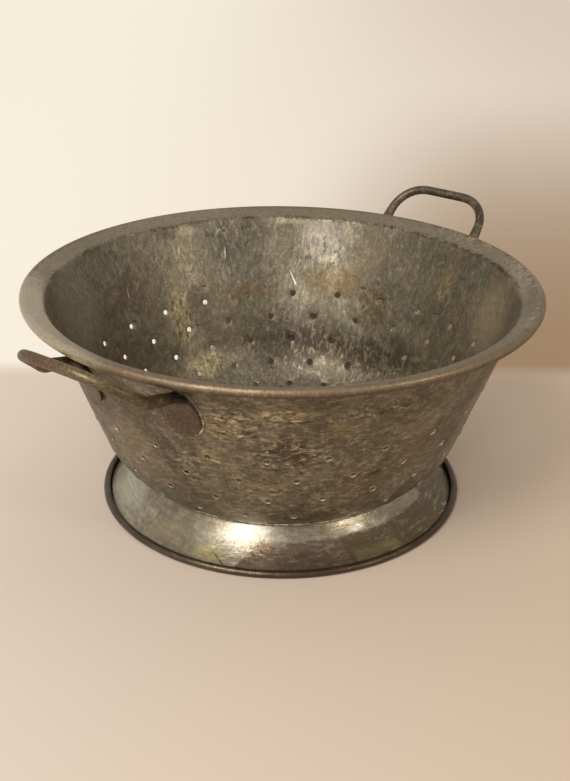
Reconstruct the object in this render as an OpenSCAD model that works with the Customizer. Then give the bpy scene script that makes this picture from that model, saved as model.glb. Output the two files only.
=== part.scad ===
// A large footed colander of tinned sheet steel.
// A pressed and punched bowl has its brim rolled round an iron wire.
// It stands on a flared foot ring that is wired at its lower edge, and is
// lifted by two rod handles whose ends are forged flat and soldered on.
// The origin is the middle of the circle on which the foot rests.
// X runs along the line of the handles and Z points up. Sizes are in millimetres.

/* [Rim] */
// Diameter across the rolled rim
rim_d = 330; // [260:1:400]
// Height of the top of the rim above the table
rim_h = 146.5; // [120:0.5:180]
// Plan width of the brim, from its crease with the wall to the outer edge
brim_w = 14.5; // [12:0.5:22]
// Slope of the brim above level, in degrees
brim_slope = 25; // [10:1:35]
// Diameter of the iron wire inside the rolled rim
rim_wire_d = 3.6; // [3:0.1:5]
// How far the sheet wraps round the rim wire, in degrees
rim_wrap = 280; // [200:5:290]

/* [Bowl] */
// Thickness of the bowl's sheet
bowl_sheet = 1; // [0.6:0.1:1.4]
// Lean of the wall from upright, in degrees
wall_lean = 20; // [12:1:26]
// Outside radius of the bend between the wall and the bottom
bottom_bend = 56; // [40:1:70]
// Clear height between the table and the underside of the bowl
bowl_lift = 15; // [12:0.5:20]
// Radius of the fold where the wall turns out into the brim
crease_r = 4; // [2:0.5:6]

/* [Drain holes] */
// Diameter of each punched hole
hole_d = 4; // [2.5:0.1:6]
// Number of holes in each row round the wall
row_holes = 24; // [12:1:30]
// Number of rows and rings, from the top row in to the middle
rows = 9; // [5:1:9]
// Distance down the wall from the crease to the top row
first_row = 58; // [30:1:70]
// Distance between rows, measured along the sheet
row_pitch = 17.3; // [14:0.1:20]
// Closest that the holes of the small rings come together
ring_gap = 24; // [18:1:40]
// Angle of the first hole of the top row, in degrees
row_phase = 5.4; // [0:0.1:15]
// How far the hand-set pattern leans from level, in degrees
row_lean = 1.9; // [0:0.1:3]
// Direction in which the leaning pattern is highest, in degrees
row_lean_side = -50.5; // [-180:0.5:180]

/* [Foot] */
// Diameter across the rolled lower edge of the foot
foot_d = 242; // [220:1:260]
// Thickness of the foot's sheet
foot_sheet = 0.8; // [0.6:0.1:1.2]
// Diameter of the iron wire inside the foot's rolled edge
foot_wire_d = 2.6; // [2:0.1:4]
// How far the sheet wraps round the foot wire, in degrees
foot_wrap = 262; // [200:2:280]
// Radius of the foot's hollow flare
flare_r = 55; // [45:1:75]
// Slope of the flare where it meets the rolled edge, in degrees
flare_slope = 22; // [16:1:28]
// Length of the flange that lies under the bowl
flange_l = 7; // [4:0.5:10]
// Outside radius of the fold between the flange and the flare
foot_fold_r = 1.6; // [1.4:0.1:2.5]
// Depth of the flat that use has worn on the rolled edge
foot_wear = 0.2; // [0.1:0.05:0.4]

/* [Handles] */
// Diameter of the iron rod
rod_d = 6.5; // [5:0.1:8]
// Distance between the middles of a handle's two legs at the rim
leg_span = 77; // [72:1:100]
// Distance between the legs where the rod turns into the grip
grip_span = 73; // [64:0.2:78]
// How far the knee of each leg stands out beyond the rim
knee_out = 8.2; // [6:0.2:14]
// Height of the knee below the top of the rim
knee_drop = 12.2; // [11:0.2:16]
// Radius of the knee, at the middle of the rod
knee_r = 12; // [8:1:16]
// Radius of the bend where a leg turns down onto the wall
ankle_r = 7; // [6:0.5:9]

/* [Right handle] */
// Lift of the right handle above level, in degrees
right_lift = 45.7; // [20:0.1:60]
// Length of its lifted part, from the knee to the middle of the grip
right_reach = 36.6; // [30:0.1:60]
// Radius of the two corners of its grip, at the middle of the rod
right_corner = 22.6; // [14:0.2:26]

/* [Left handle] */
// Lift of the left handle above level, in degrees
left_lift = 38.2; // [20:0.1:60]
// Length of its lifted part, from the knee to the middle of the grip
left_reach = 34; // [33:0.1:60]
// Radius of the two corners of its grip, at the middle of the rod
left_corner = 27.8; // [14:0.2:28]
// How far it is set off from straight opposite the right handle, in degrees
left_offset = 1.8; // [-4:0.1:4]

/* [Lugs] */
// Distance down the wall from the crease to the bend of each leg
lug_drop = 10.5; // [9:0.5:16]
// Width of the flattened end of the rod
lug_w = 21.6; // [14:0.2:26]
// Length of the flattened end below the bend
lug_l = 32; // [28:0.5:36]
// Thickness of the flattened end
lug_t = 1.8; // [1.2:0.1:2.5]
// Length over which the rod widens to the full width, from the start of its bend
lug_flank = 21; // [14:0.5:24]
// Length over which the rod thins down to the flat, from the start of its bend
lug_taper = 16; // [12:0.5:20]

/* [Solder] */
// Thickness of the solder under each lug
solder_t = 0.4; // [0.2:0.1:0.8]
// How far the solder shows round the edge of each lug
solder_margin = 1.2; // [0.8:0.1:3]
// How far the solder runs up the wall above the bend of each leg
solder_rise = 2.5; // [1:0.5:4]
// Radius of the solder bead along the top of the foot
bead_r = 1.6; // [1:0.1:2.5]
// Clearance between pieces that are soldered together
joint_gap = 0.1; // [0.05:0.05:0.2]
// Clearance between a wire and the sheet that is rolled round it
wire_gap = 0.3; // [0.1:0.05:0.4]

/* [Hidden] */
$fn = 96;

tin = "#6f6a58";
bright_tin = "#8b8878";
iron = "#5d4f3f";
solder = "#a39c88";

// Directions in the upright section plane, as [outward, up]
function ray(angle) = [cos(angle), sin(angle)];
function unit(v) = v / norm(v);

// Rolled rim: radius over the sheet, and centre of the roll
rim_roll_r = rim_wire_d / 2 + wire_gap + bowl_sheet;
rim_roll = [rim_d / 2 - rim_roll_r, rim_h - rim_roll_r];
// The brim's upper face touches the roll here, and meets the wall's inner face at the crease
brim_top = rim_roll + rim_roll_r * ray(90 + brim_slope);
crease_x = rim_d / 2 - brim_w;
crease = [crease_x, brim_top[1] - (brim_top[0] - crease_x) * tan(brim_slope)];
// Half the fold's turn at the crease, and what it takes off the straight lengths beside it
fold_half = (90 - brim_slope - wall_lean) / 2;
fold_cut = crease_r * tan(fold_half);
brim_l = norm(brim_top - crease);
// Direction down the wall, and out through it
wall_down = ray(-90 - wall_lean);
wall_out = ray(-wall_lean);
// Centre of the bend between wall and bottom
bend_in = bottom_bend - bowl_sheet;
bend_z = bowl_lift + bottom_bend;
bend_x = crease[0] + ((bend_z - crease[1]) * sin(wall_lean) - bend_in) / cos(wall_lean);
bend = [bend_x, bend_z];
// Length of the straight wall, and of the bend along its middle
wall_l = (crease - bend - bend_in * wall_out) * -wall_down;
bend_mid = bottom_bend - bowl_sheet / 2;
bend_l = bend_mid * (90 - wall_lean) * PI / 180;

// Foot: the roll, and the centre of the flare
foot_curl_r = foot_wire_d / 2 + wire_gap;
foot_roll_r = foot_curl_r + foot_sheet;
foot_roll = [foot_d / 2 - foot_roll_r, foot_roll_r - foot_wear];
flare = foot_roll + (flare_r - foot_curl_r) * ray(90 - flare_slope);
// The flange follows the bowl's bend, and the fold between flange and flare touches both
seat_r = bottom_bend + joint_gap;
// Where circles about the bend and about the flare cross on the foot's side
function crossing(r_bend, r_flare) =
    let (
        v = flare - bend,
        d = norm(v),
        turn = acos((d * d + r_bend * r_bend - r_flare * r_flare) / (2 * d * r_bend))
    )
    bend + r_bend * ray(atan2(v[1], v[0]) - turn);
foot_fold = crossing(seat_r + foot_fold_r, flare_r + foot_fold_r);
seat = atan2(foot_fold[1] - bend[1], foot_fold[0] - bend[0]);
flare_top = atan2(foot_fold[1] - flare[1], foot_fold[0] - flare[0]) + 360;
flange_turn = flange_l / seat_r * 180 / PI;
flange_start = bend + seat_r * ray(seat - flange_turn);

// Handles: the middle of the rod stands this far off the wall's inner face at the lug
lug_base = bowl_sheet + joint_gap + solder_t + joint_gap;
rod_off = lug_base + rod_d / 2;
ankle = crease + lug_drop * wall_down + rod_off * wall_out;
lug_turn = asin(leg_span / 2 / ankle[0]);
knee_x = rim_d / 2 + knee_out - (rim_d / 2 - sqrt(pow(rim_d / 2, 2) - pow(leg_span / 2, 2)));
knee_z = rim_h - knee_drop;
lug_r = lug_w / 2;
rod_r = rod_d / 2;
knee = [knee_x, leg_span / 2, knee_z];
// A point or direction of the upright section plane, turned round to a leg
function on_flank(p) = [p[0] * cos(lug_turn), p[0] * sin(lug_turn), p[1]];
// The ankle's turn, its length along the rod, and where it ends on the wall
ankle_turn = acos(on_flank(-wall_down) * unit(knee - on_flank(ankle)));
ankle_l = ankle_r * ankle_turn * PI / 180;
lug_top = ankle_r * tan(ankle_turn / 2);
// The flattened end is bowed to the wall's own radius, square to the wall
lug_bow_r = ankle[0] / cos(wall_lean);
// How the swept rings are laid out
ring_sides = 16;
ring_turn = 10;
lug_rings = 7;
tip_start = 9;
flat_power = 3;

// Sheet profiles are drawn as a chain. Each length or bend starts at the origin and runs
// towards +Y, with the sheet's thickness on its right, and carries what follows at its end.

module flat(length, thick) {
    square([thick, length]);
    translate([0, length]) children();
}

// A bend to the left, where the near side of the sheet has this radius
module bend_left(r, turn, thick) {
    translate([-r, 0]) {
        difference() {
            circle(r + thick);
            circle(r);
            translate([-2 * (r + thick), -4 * (r + thick)]) square(4 * (r + thick));
            rotate(turn) translate([-2 * (r + thick), 0]) square(4 * (r + thick));
        }
        rotate(turn) translate([r, 0]) children();
    }
}

// A bend to the right, where the far side of the sheet has this radius
module bend_right(r, turn, thick) {
    translate([r, 0]) {
        difference() {
            circle(r);
            circle(r - thick);
            translate([-2 * r, -4 * r]) square(4 * r);
            rotate(-turn) translate([-2 * r, 0]) square(4 * r);
        }
        rotate(-turn) translate([-r, 0]) children();
    }
}

// Bowl

module bowl_section() {
    translate([0, bowl_lift + bowl_sheet]) rotate(-90)
        flat(bend[0], bowl_sheet)
        bend_left(bend_in, 90 - wall_lean, bowl_sheet)
        flat(wall_l - fold_cut, bowl_sheet)
        bend_right(crease_r, 2 * fold_half, bowl_sheet)
        flat(brim_l - fold_cut, bowl_sheet)
        bend_right(rim_roll_r, rim_wrap / 2, bowl_sheet)
        bend_right(rim_roll_r, rim_wrap / 2, bowl_sheet);
}

// Where a point lies that is this far from the crease along the sheet,
// as [distance out, height, slope of the outward direction below level]
function on_sheet(s) =
    s < wall_l
        ? let (p = crease + s * wall_down) [p[0], p[1], wall_lean]
    : s < wall_l + bend_l
        ? let (turn = wall_lean + (s - wall_l) / bend_mid * 180 / PI, p = bend + bend_mid * ray(-turn))
            [p[0], p[1], turn]
    : [bend[0] - (s - wall_l - bend_l), bowl_lift, 90];

// Holes in a row: the full number on the wall, fewer on the small rings, in sixes
function holes_in_row(s) = min(row_holes, 6 * max(1, round(2 * PI * on_sheet(s)[0] / ring_gap / 6)));

module punch(s, azimuth) {
    level = on_sheet(s);
    lean = level[0] * tan(row_lean) * cos(azimuth - row_lean_side) / cos(wall_lean);
    at = on_sheet(s - lean);
    rotate(azimuth) translate([at[0], 0, at[1]]) rotate([0, 90 + at[2], 0])
        cylinder(d = hole_d, h = 6 * bowl_sheet, center = true);
}

module drain_holes() {
    for (row = [0:rows - 1]) {
        s = first_row + row * row_pitch;
        count = holes_in_row(s);
        for (i = [0:count - 1]) punch(s, row_phase + (i + row % 2 / 2) * 360 / count);
    }
}

module bowl() {
    color(tin) difference() {
        rotate_extrude() bowl_section();
        drain_holes();
    }
}

module rim_wire() {
    color(iron) rotate_extrude() translate(rim_roll) circle(d = rim_wire_d);
}

// Foot

module foot_section() {
    translate(flange_start) rotate(seat - flange_turn)
        bend_left(seat_r, flange_turn, foot_sheet)
        bend_right(foot_fold_r, seat - flare_top + 360, foot_sheet)
        bend_left(flare_r, 270 - flare_slope - flare_top, foot_sheet)
        bend_left(foot_curl_r, foot_wrap / 2, foot_sheet)
        bend_left(foot_curl_r, foot_wrap / 2, foot_sheet);
}

module foot_ring() {
    color(bright_tin) rotate_extrude() difference() {
        foot_section();
        translate([0, -foot_roll_r]) square([foot_d, foot_roll_r]);
    }
}

module foot_wire() {
    color(iron) rotate_extrude() translate(foot_roll) circle(d = foot_wire_d);
}

module foot_solder() {
    color(solder) rotate_extrude() difference() {
        intersection() {
            translate(crossing(seat_r, flare_r)) circle(bead_r);
            translate(flare) circle(flare_r - joint_gap);
        }
        translate(bend) circle(seat_r);
        translate(foot_fold) circle(foot_fold_r + joint_gap);
    }
}

// Handles

// A handle is one rod, swept along its path in rings. Its two halves mirror each other.

function way(p, i) = unit(p[i + 1] - p[i]);
function corner_turn(p, i) = acos(way(p, i - 1) * way(p, i));
// How far before and after a corner its bend begins
function setback(p, r, i) = r[i] * tan(corner_turn(p, i) / 2);
// Points along the bend at a corner, from its start to its end
function bend_points(p, r, i) =
    let (
        turn = corner_turn(p, i),
        into = way(p, i - 1),
        spoke = cross(into, unit(cross(into, way(p, i)))),
        hub = p[i] - setback(p, r, i) * into - r[i] * spoke,
        steps = ceil(turn / ring_turn)
    )
    [for (k = [0:steps]) hub + r[i] * (cos(turn * k / steps) * spoke + sin(turn * k / steps) * into)];

// Corners of half the rod's path: tip of the lug, ankle, knee, corner and middle of the grip
function half_path(lift, reach) = let (
    grip_x = knee_x + reach * cos(lift),
    grip_z = knee_z + reach * sin(lift)
) [
    on_flank(ankle + lug_l * wall_down),
    on_flank(ankle),
    knee,
    [grip_x, grip_span / 2, grip_z],
    [grip_x, 0, grip_z]
];

// The flattening, by distance along the rod from the start of the ankle's bend
function rod_half_w(along) = rod_r + (lug_r - rod_r) * sin(90 * min(1, along / lug_flank));
function flatness(along) = (1 - cos(180 * min(1, along / lug_taper))) / 2;
function rod_half_t(along) = rod_r + (lug_t / 2 - rod_r) * flatness(along);

// The lug's half width, by distance x down the wall from the ankle. Its flanks end in a round tip.
lug_mid = lug_l - lug_r;
function lug_along(x) = ankle_l + x - lug_top;
function lug_half_w(x) =
    x > lug_mid ? sqrt(pow(lug_r, 2) - pow(x - lug_mid, 2)) : rod_half_w(lug_along(x));
lug_stations = concat(
    [for (a = [tip_start:ring_turn:89]) lug_mid + lug_r * cos(a)],
    [for (k = [0:lug_rings]) lug_mid + (lug_top - lug_mid) * k / lug_rings]
);

// A ring of points about a centre, in the plane of two directions. A high power squares it off,
// and sag bends it round the wall.
function ring(centre, across, out, half_w, half_t, power, sag) =
    [for (k = [0:ring_sides - 1]) let (
        a = (k + 0.5) * 360 / ring_sides,
        u = half_w * sign(cos(a)) * pow(abs(cos(a)), 2 / power),
        v = half_t * sign(sin(a)) * pow(abs(sin(a)), 2 / power)
    ) centre + u * across + (v - sag * u * u) * out];

// Carries a direction along a path, turning it no more than the path turns
function carried(ways, v, i) =
    i == len(ways) ? [] : let (w = unit(v - (v * ways[i]) * ways[i])) concat([w], carried(ways, w, i + 1));

// A ring of the flattened stretch, with its outer face shifted in so that the inner one stays in place
function forged(centre, across, out, half_w, along) = let (half_t = rod_half_t(along))
    ring(centre + (half_t - rod_r) * out, across, out, half_w, half_t,
         2 + flat_power * flatness(along), min(1, along / ankle_l) / (2 * lug_bow_r));

function half_rings(lift, reach, corner) = let (
    p = half_path(lift, reach),
    bends = [0, ankle_r, knee_r, corner, 0],
    out = on_flank(wall_out),
    up = way(p, 0),
    across = cross(out, up),
    ankle_points = bend_points(p, bends, 1),
    ankle_last = len(ankle_points) - 1,
    centres = concat(ankle_points, bend_points(p, bends, 2), bend_points(p, bends, 3), [p[4]]),
    last = len(centres) - 1,
    ways = concat(
        [up], [for (i = [1:last - 1]) unit(centres[i + 1] - centres[i - 1])], [[0, -1, 0]]
    ),
    outs = carried(ways, out, 0)
) concat(
    [for (x = lug_stations) forged(p[1] - x * up, across, out, lug_half_w(x), lug_along(x))],
    [for (i = [1:ankle_last]) let (along = ankle_l * (1 - i / ankle_last))
        forged(centres[i], cross(outs[i], ways[i]), outs[i], rod_half_w(along), along)],
    [for (i = [ankle_last + 1:last]) ring(centres[i], cross(outs[i], ways[i]), outs[i], rod_r, rod_r, 2, 0)]
);

module handle(lift, reach, corner) {
    half = half_rings(lift, reach, corner);
    count = len(half);
    rings = concat(half, [for (i = [count - 2:-1:0]) [for (p = half[i]) [p[0], -p[1], p[2]]]]);
    n = ring_sides;
    last = len(rings) - 1;
    color(iron) polyhedron(
        points = [for (r = rings) for (p = r) p],
        faces = concat(
            [[for (k = [0:n - 1]) k]],
            [for (i = [0:last - 1]) for (k = [0:n - 1])
                [i * n + k, (i + 1) * n + k, (i + 1) * n + (k + 1) % n, i * n + (k + 1) % n]],
            [[for (k = [n - 1:-1:0]) last * n + k]]
        )
    );
}

// Solder under each lug

// A frame on the wall's inner face under the bend of a leg:
// X down the wall, Y round it, Z out through it
module at_lug(side) {
    foot = crease + lug_drop * wall_down;
    rotate(side * lug_turn) translate([foot[0], 0, foot[1]]) rotate([0, 90 + wall_lean, 0]) children();
}

// Half the width of the solder, which rounds in to its top above the lug
solder_r = lug_r + solder_margin;
function solder_half_w(x) = let (to_top = max(0, lug_top - x) / (lug_top + solder_rise))
    (solder_margin + rod_half_w(lug_along(x))) * sqrt(1 - to_top * to_top);

// The outline of the solder round a lug
module solder_outline() {
    side = concat(
        [for (a = [ring_turn:ring_turn:89])
            let (x = lug_mid - (lug_mid + solder_rise) * cos(a)) [x, solder_half_w(x)]],
        [for (a = [90:-ring_turn:1]) [lug_mid + solder_r * cos(a), solder_r * sin(a)]]
    );
    other_side = [for (i = [len(side) - 1:-1:0]) [side[i][0], -side[i][1]]];
    polygon(concat([[-solder_rise, 0]], side, [[lug_mid + solder_r, 0]], other_side));
}

// A shell that lies along the outside of the wall, between two distances from its inner face
module wall_shell(near, far) {
    low = crease + near * wall_out + wall_l * wall_down;
    rotate_extrude() translate(low) rotate(-wall_lean) square([far - near, wall_l]);
}

module handle_solder() {
    near = bowl_sheet + joint_gap;
    color(solder) for (side = [-1, 1]) intersection() {
        at_lug(side) linear_extrude(2 * rod_d) solder_outline();
        wall_shell(near, near + solder_t);
    }
}

module right_handle() handle(right_lift, right_reach, right_corner);
module left_handle() rotate(180 + left_offset) handle(left_lift, left_reach, left_corner);
module right_handle_solder() handle_solder();
module left_handle_solder() rotate(180 + left_offset) handle_solder();

bowl();
rim_wire();
foot_ring();
foot_wire();
foot_solder();
right_handle();
left_handle();
right_handle_solder();
left_handle_solder();
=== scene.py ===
"""The looks of a footed colander of old tinned sheet steel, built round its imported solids.

Each sheet piece is made as a tinsmith makes it: a flat blank is punched, pressed or rolled to its section, and
then has its thickness. The handles are rods with their ends forged flat.
Sizes are in millimetres, and MM turns them into metres.
"""

import logging
import math
from dataclasses import dataclass, field
from enum import Enum
from typing import Any, Callable, Iterable, Sequence

import bmesh
import bpy
from mathutils import Matrix, Vector, noise


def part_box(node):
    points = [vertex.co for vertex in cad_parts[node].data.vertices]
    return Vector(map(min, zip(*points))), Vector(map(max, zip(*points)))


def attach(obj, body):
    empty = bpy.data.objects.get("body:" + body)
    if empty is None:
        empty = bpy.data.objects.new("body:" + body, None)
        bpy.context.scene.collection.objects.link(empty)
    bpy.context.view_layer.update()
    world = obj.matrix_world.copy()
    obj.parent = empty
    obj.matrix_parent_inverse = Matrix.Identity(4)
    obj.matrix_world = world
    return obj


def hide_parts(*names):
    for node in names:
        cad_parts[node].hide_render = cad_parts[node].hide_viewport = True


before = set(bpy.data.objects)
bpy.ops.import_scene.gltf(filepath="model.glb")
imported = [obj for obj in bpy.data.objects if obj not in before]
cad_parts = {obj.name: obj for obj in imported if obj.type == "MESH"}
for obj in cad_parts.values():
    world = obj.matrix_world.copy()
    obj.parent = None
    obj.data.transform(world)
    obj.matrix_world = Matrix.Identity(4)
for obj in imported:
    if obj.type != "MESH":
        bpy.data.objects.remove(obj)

LOG = logging.getLogger("colander")
MM = 0.001
BODY = "root"


def srgb(hex_colour: str) -> tuple[float, float, float, float]:
    """Turns an sRGB hex colour into linear light.

    Args:
        hex_colour: Six hex digits after a hash mark.

    Returns:
        Linear red, green, blue and an alpha of 1.
    """
    parts = [int(hex_colour[i:i + 2], 16) / 255 for i in (1, 3, 5)]
    linear = [p / 12.92 if p <= 0.04045 else ((p + 0.055) / 1.055) ** 2.4 for p in parts]
    return (linear[0], linear[1], linear[2], 1.0)


def ease(x: float, low: float, high: float) -> float:
    """Eases from 0 at low to 1 at high, and stays there beyond them."""
    t = min(1.0, max(0.0, (x - low) / (high - low)))
    return t * t * (3 - 2 * t)


@dataclass(frozen=True)
class Stretch:
    """One straight length or bend of a sheet's middle line.

    Attributes:
        length: Length along the middle line.
        radius: Radius of the bend, positive to the left, or 0 for a straight length.
    """

    length: float
    radius: float = 0.0

    @staticmethod
    def bend(radius: float, degrees: float) -> "Stretch":
        """Makes a bend of this radius, positive to the left, that turns this far."""
        return Stretch(abs(radius) * math.radians(degrees), radius)


@dataclass(frozen=True)
class SheetLine:
    """The middle line of a sheet in the upright section plane, as a chain of stretches.

    Attributes:
        start: Distance out and height of the first point.
        heading: First direction, in degrees above level.
        stretches: The chain, in order.
    """

    start: tuple[float, float]
    heading: float
    stretches: tuple[Stretch, ...]

    @property
    def length(self) -> float:
        """Whole length of the line."""
        return sum(stretch.length for stretch in self.stretches)

    def at(self, along: float) -> tuple[float, float, float]:
        """Finds a point on the line.

        Args:
            along: Distance from the start. Beyond an end, the first or last stretch goes on.

        Returns:
            Distance out, height and heading in radians.
        """
        out, up = self.start
        heading = math.radians(self.heading)
        for stretch in self.stretches:
            step = along if stretch is self.stretches[-1] else min(along, stretch.length)
            if stretch.radius:
                turned = heading + step / stretch.radius
                out += stretch.radius * (math.sin(turned) - math.sin(heading))
                up -= stretch.radius * (math.cos(turned) - math.cos(heading))
                heading = turned
            else:
                out += step * math.cos(heading)
                up += step * math.sin(heading)
            along -= step
            if along <= 0:
                break
        return out, up, heading


@dataclass(frozen=True)
class Hole:
    """One punched hole of a blank, in whole steps of its grid.

    Attributes:
        column: Grid column of the centre.
        row: Grid row of the centre.
        half_columns: Columns from the centre to the edge of the patch that is reworked.
    """

    column: int
    row: int
    half_columns: int


@dataclass(frozen=True)
class Lip:
    """One ring of points round a punched hole: its radius and how far it stands out."""

    radius: float
    lift: float


class Side(Enum):
    """Which face of a bent sheet a material slot covers."""

    OUTER = 0
    INNER = 1
    EDGE = 2


@dataclass
class Blank:
    """A sheet that is punched flat, on a grid of columns round it and rows along it, and then pressed.

    Attributes:
        line: Middle line of the pressed sheet.
        rows: Distance along the line of each grid row.
        columns: Number of grid columns in a full turn.
        first_column: Column at which the blank's seam lies.
        phase: Direction of column 0, in degrees.
        holes: The holes to punch.
        lips: Rings of each hole, from the outermost in.
    """

    line: SheetLine
    rows: Sequence[float]
    columns: int
    first_column: int = 0
    phase: float = 0.0
    holes: Sequence[Hole] = ()
    lips: Sequence[Lip] = ()

    @property
    def column_turn(self) -> float:
        """Angle between columns, in degrees."""
        return 360 / self.columns

    def make(self, shift: Callable[[float, float], float],
             swell: Callable[[Vector, float], float]) -> bmesh.types.BMesh:
        """Punches and presses the blank.

        Args:
            shift: Given a direction in degrees and a distance along, how far the point slips along the sheet.
            swell: Given a pressed point and its distance along, how far it stands out of the true surface.

        Returns:
            The middle surface, in metres.
        """
        bm = bmesh.new()
        last = len(self.rows) - 1
        half = Vector((self.columns / 2, last / 2, 0))
        place = Matrix.Translation(half + Vector((self.first_column, 0, 0))) @ Matrix.Diagonal((half.x, half.y, 1, 1))
        bmesh.ops.create_grid(bm, x_segments=self.columns, y_segments=last, size=1, matrix=place)
        azimuth = bm.verts.layers.float.new("azimuth")
        along = bm.verts.layers.float.new("along")
        lift = bm.verts.layers.float.new("lift")
        rolled_out = bm.verts.layers.float_vector.new("rolled_out")
        for vert in bm.verts:
            vert[azimuth] = self.phase + vert.co.x * self.column_turn
            vert[along] = self.rows[round(vert.co.y)]
        grid = {(round(v.co.x), round(v.co.y)): v for v in bm.verts}
        inside = [grid[key] for hole in self.holes for key in self._patch(hole, 1)]
        edges = [self._rim_edges(grid, hole) for hole in self.holes]
        bmesh.ops.delete(bm, geom=inside, context="VERTS")
        for hole, rim in zip(self.holes, edges):
            self._raise_lips(bm, hole, rim, azimuth, along, lift)
        for vert in bm.verts:
            slip = vert[along] + shift(vert[azimuth], vert[along])
            out, up, heading = self.line.at(slip)
            turn = math.radians(vert[azimuth])
            spoke = Vector((math.cos(turn), math.sin(turn), 0))
            normal = spoke * math.sin(heading) - Vector((0, 0, math.cos(heading)))
            point = spoke * out + Vector((0, 0, up))
            vert.co = (point + normal * (vert[lift] + swell(point, vert[along]))) * MM
            vert[rolled_out] = (spoke * out + Vector((0, 0, vert[along]))) * MM
        bmesh.ops.remove_doubles(bm, verts=bm.verts, dist=1e-6)
        bmesh.ops.recalc_face_normals(bm, faces=bm.faces)
        if self._faces_in(bm.faces[:][-1], along):
            bmesh.ops.reverse_faces(bm, faces=bm.faces)
        return bm

    def _faces_in(self, face: bmesh.types.BMFace, along: Any) -> bool:
        """Tells whether a face points away from the outer side of the sheet."""
        vert = face.verts[0]
        heading = self.line.at(vert[along])[2]
        spoke = vert.co.xy.normalized().to_3d()
        return face.normal.dot(spoke * math.sin(heading) - Vector((0, 0, math.cos(heading)))) < 0

    def _patch(self, hole: Hole, inset: int) -> list[tuple[int, int]]:
        """Lists the grid points of the patch round a hole, less this many at each edge."""
        wide, tall = hole.half_columns - inset, HOLE_ROWS - inset
        return [
            (self._wrap(hole.column + i), hole.row + j)
            for i in range(-wide, wide + 1)
            for j in range(-tall, tall + 1)
        ]

    def _wrap(self, column: int) -> int:
        """Brings a column number into the blank."""
        return (column - self.first_column) % self.columns + self.first_column

    def _rim_edges(self, grid: dict, hole: Hole) -> list[bmesh.types.BMEdge]:
        """Finds the edges round the patch of a hole."""
        rim = set(self._patch(hole, 0)) - set(self._patch(hole, 1))
        verts = {grid[key] for key in rim}
        found = {edge for vert in verts for edge in vert.link_edges if edge.other_vert(vert) in verts}
        corner_cuts = {edge for edge in found if (edge.verts[0].co - edge.verts[1].co).length > 1.01}
        return list(found - corner_cuts)

    def _raise_lips(self, bm: bmesh.types.BMesh, hole: Hole, edges: list,
                    azimuth: Any, along: Any, lift: Any) -> None:
        """Closes the patch round a hole in rings that end at the punched edge.

        Args:
            bm: The blank.
            hole: The hole.
            edges: Edges round the patch.
            azimuth: Layer that holds each point's direction.
            along: Layer that holds each point's distance along the sheet.
            lift: Layer that holds how far each point stands out.
        """
        centre_turn = self.phase + hole.column * self.column_turn
        centre_along = self.rows[hole.row]
        out = self.line.at(centre_along)[0]
        degree = math.radians(1) * out
        for ring in self.lips:
            grown = bmesh.ops.extrude_edge_only(bm, edges=edges)["geom"]
            for vert in [g for g in grown if isinstance(g, bmesh.types.BMVert)]:
                across = ((vert[azimuth] - centre_turn + 180) % 360 - 180) * degree
                angle = math.atan2(vert[along] - centre_along, across)
                vert[azimuth] = centre_turn + ring.radius * math.cos(angle) / degree
                vert[along] = centre_along + ring.radius * math.sin(angle)
                vert[lift] = ring.lift
            edges = [g for g in grown if isinstance(g, bmesh.types.BMEdge) and g.is_boundary
                     and all(abs(v[lift] - ring.lift) < 1e-6 for v in g.verts)
                     and all(self._near(v, centre_turn, centre_along, degree, ring, azimuth, along) for v in g.verts)]

    @staticmethod
    def _near(vert: Any, turn: float, centre: float, degree: float, ring: Lip, azimuth: Any, along: Any) -> bool:
        """Tells whether a point lies on a ring of a hole."""
        return abs(math.hypot((vert[azimuth] - turn) * degree, vert[along] - centre) - ring.radius) < 0.01


HOLE_ROWS = 2


def spread(stops: Iterable[tuple[float, int]], start: float) -> list[float]:
    """Lists grid rows.

    Args:
        stops: Pairs of where a zone ends and how many rows it has.
        start: Where the first zone starts.

    Returns:
        The distance along of each row.
    """
    rows = [start]
    for end, count in stops:
        begin = rows[-1]
        rows += [begin + (end - begin) * (i + 1) / count for i in range(count)]
    return rows


def finished(name: str, bm: bmesh.types.BMesh, finishes: Sequence[bpy.types.Material]) -> bpy.types.Object:
    """Turns a mesh that was modelled in place into a smooth-shaded piece of the object.

    Args:
        name: Name of the piece.
        bm: The mesh, in metres. It is freed.
        finishes: Materials, in the order of their slots.

    Returns:
        The new object, at the origin.
    """
    mesh = bpy.data.meshes.new(name)
    for face in bm.faces:
        face.smooth = True
    bm.to_mesh(mesh)
    bm.free()
    for finish in finishes:
        mesh.materials.append(finish)
    piece = bpy.data.objects.new(name, mesh)
    bpy.context.scene.collection.objects.link(piece)
    return piece


def give_thickness(piece: bpy.types.Object, thickness: float) -> None:
    """Gives a middle surface its thickness, with its own slots for the inner face and the edge."""
    wall = piece.modifiers.new("thickness", "SOLIDIFY")
    wall.thickness = thickness * MM
    wall.offset = 0
    wall.use_even_offset = True
    wall.material_offset = Side.INNER.value
    wall.material_offset_rim = Side.EDGE.value


def seat(piece: bpy.types.Object, node: str) -> None:
    """Lets a piece stand for a node of the frame.

    Args:
        piece: The new piece.
        node: The node that it replaces.
    """
    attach(piece, BODY)
    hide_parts(node)
    LOG.info("%s stands for %s", piece.name, node)


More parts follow.
